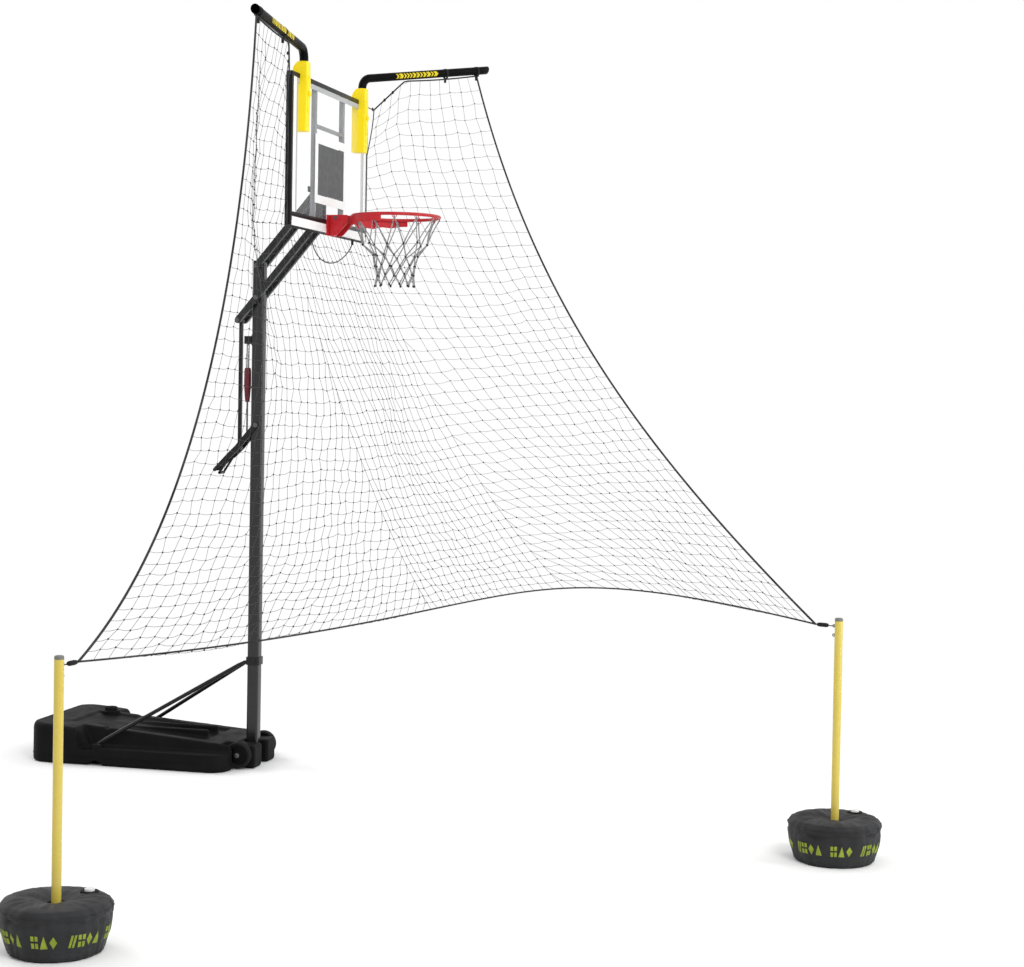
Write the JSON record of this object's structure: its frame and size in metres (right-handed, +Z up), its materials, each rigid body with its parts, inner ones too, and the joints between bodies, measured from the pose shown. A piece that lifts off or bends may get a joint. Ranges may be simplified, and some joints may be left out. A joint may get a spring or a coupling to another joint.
{
  "type": "basketball return system",
  "caption": "Wheeled basketball hoop with a lifting board, yellow-clamped arms and a wide net that returns the ball, held by poles in weight bags.",
  "frame": {"origin": "underside of the main pole's foot, on the pole's axis, at floor level", "axes": "+Z up; -Y is the way the board faces; +X is the board's right side seen from the players' side"},
  "size_m": [5.1688, 4.735, 4.0589],
  "materials": {
    "tank_plastic": "blow-moulded black plastic, fine grain",
    "black_steel": "black powder coat",
    "grey_steel": "dark grey powder coat",
    "zinc_steel": "zinc plated",
    "wheel_rubber": "matt",
    "spring_red": "dark red sleeve",
    "board_black": "black coated extrusion",
    "rail_grey": "grey coated tube",
    "clear_panel": "clear acrylic",
    "white_trim": "white printed band",
    "target_grey": "dark grey printed field",
    "rim_red": "red powder coat",
    "hoop_cord": "braided nylon",
    "yellow_paint": "yellow powder coat",
    "net_cord": "black knotted cord",
    "plug_grey": "grey plastic",
    "bag_fabric": "coated woven fabric",
    "cap_white": "white plastic"
  },
  "bodies": {
    "root": {"base_tank": "tank_plastic", "wheel_axle": "zinc_steel", "pole_foot": "black_steel", "pole_lower": "black_steel", "pole_upper": "black_steel", "pole_cap": "tank_plastic", "upper_pivot_pin": "zinc_steel", "lower_pivot_pin": "zinc_steel", "handle_pivot_pin": "zinc_steel", "brace_collar": "black_steel", "brace_left": "black_steel", "brace_right": "black_steel", "spring_cylinder": "black_steel", "spring_sleeve": "spring_red", "spring_bracket": "black_steel", "return_net": "net_cord", "return_pole_left": "yellow_paint", "return_pole_right": "yellow_paint", "pole_plug_left": "plug_grey", "pole_plug_right": "plug_grey", "weight_bag_left": "bag_fabric", "weight_bag_right": "bag_fabric", "corner_hook_left": "tank_plastic", "corner_hook_right": "tank_plastic"},
    "tank_cap": {"tank_cap": "tank_plastic"},
    "wheel_left": {"wheel_left": "wheel_rubber"},
    "wheel_right": {"wheel_right": "wheel_rubber"},
    "upper_arms": {"upper_arm_left": "grey_steel", "upper_arm_right": "grey_steel"},
    "lower_arms": {"lower_arm_left": "grey_steel", "lower_arm_right": "grey_steel", "strut_pin": "zinc_steel"},
    "board": {"board_pin_upper": "zinc_steel", "board_pin_lower": "zinc_steel", "board_frame": "board_black", "board_panel": "clear_panel", "board_rear_frame": "rail_grey", "board_bracket": "black_steel", "bottom_trim": "white_trim", "target_outline": "white_trim", "target_panel": "target_grey", "rim_mount": "rim_red", "rim_hinge_pin": "zinc_steel", "arm_clamp_left": "yellow_paint", "arm_clamp_right": "yellow_paint", "clamp_bolt_left": "yellow_paint", "clamp_bolt_right": "yellow_paint", "return_arm_left": "black_steel", "return_arm_right": "black_steel", "net_wing_left": "net_cord", "net_wing_right": "net_cord", "lock_cord": "net_cord"},
    "rim": {"rim": "rim_red", "hoop_net": "hoop_cord"},
    "lift_handle": {"handle_lever": "black_steel", "handle_grip": "wheel_rubber"},
    "lift_strut": {"lift_strut": "black_steel"},
    "spring_rod": {"spring_rod": "zinc_steel"},
    "bag_cap_left": {"bag_cap_left": "cap_white"},
    "bag_cap_right": {"bag_cap_right": "cap_white"}
  },
  "joints": [
    {"name": "height_adjust", "type": "hinge", "parent": "root", "child": "upper_arms", "pos_m": [0, 0, 2.77], "axis": [1, 0, 0], "range_deg": [0, 100], "deforming": ["return_net"]},
    {"name": "lower_arm_swing", "type": "hinge", "parent": "root", "child": "lower_arms", "pos_m": [0, 0, 2.595], "axis": [1, 0, 0], "range_deg": [0, 100]},
    {"name": "board_level", "type": "hinge", "parent": "upper_arms", "child": "board", "pos_m": [0, -0.32139, 3.15302], "axis": [1, 0, 0], "range_deg": [-100, 0]},
    {"name": "handle_swing", "type": "hinge", "parent": "root", "child": "lift_handle", "pos_m": [0, 0, 1.889], "axis": [1, 0, 0], "range_deg": [0, 100]},
    {"name": "strut_level", "type": "hinge", "parent": "lift_handle", "child": "lift_strut", "pos_m": [0, 0.10606, 1.7626], "axis": [1, 0, 0], "range_deg": [-100, 0]},
    {"name": "spring_slide", "type": "slide", "parent": "root", "child": "spring_rod", "axis": [0, 0, 1], "range_m": [0, 0.1533]},
    {"name": "rim_flex", "type": "hinge", "parent": "board", "child": "rim", "pos_m": [0, -0.453, 3.034], "axis": [1, 0, 0], "range_deg": [0, 15], "stiffness_Nm_per_rad": 200, "springref_deg": -14.32},
    {"name": "wheel_left_spin", "type": "hinge", "parent": "root", "child": "wheel_left", "pos_m": [-0.19, 0.012, 0.079], "axis": [1, 0, 0], "continuous": true},
    {"name": "wheel_right_spin", "type": "hinge", "parent": "root", "child": "wheel_right", "pos_m": [0.19, 0.012, 0.079], "axis": [1, 0, 0], "continuous": true},
    {"name": "tank_cap_turn", "type": "hinge", "parent": "root", "child": "tank_cap", "pos_m": [0.19, 0.95, 0.21], "axis": [0, 0, 1], "continuous": true},
    {"name": "bag_cap_left_turn", "type": "hinge", "parent": "root", "child": "bag_cap_left", "pos_m": [-3.53059, -0.71245, 0.21], "axis": [0, 0, 1], "continuous": true},
    {"name": "bag_cap_right_turn", "type": "hinge", "parent": "root", "child": "bag_cap_right", "pos_m": [-1.17559, -3.40245, 0.21], "axis": [0, 0, 1], "continuous": true}
  ],
  "couplings": [
    {"joint": "lower_arm_swing", "follows": "height_adjust", "ratio": 1},
    {"joint": "board_level", "follows": "height_adjust", "ratio": -1},
    {"joint": "handle_swing", "follows": "height_adjust", "ratio": 1},
    {"joint": "strut_level", "follows": "height_adjust", "ratio": -1},
    {"joint": "spring_slide", "follows": "height_adjust", "m_per_rad": 0.087782}
  ]
}
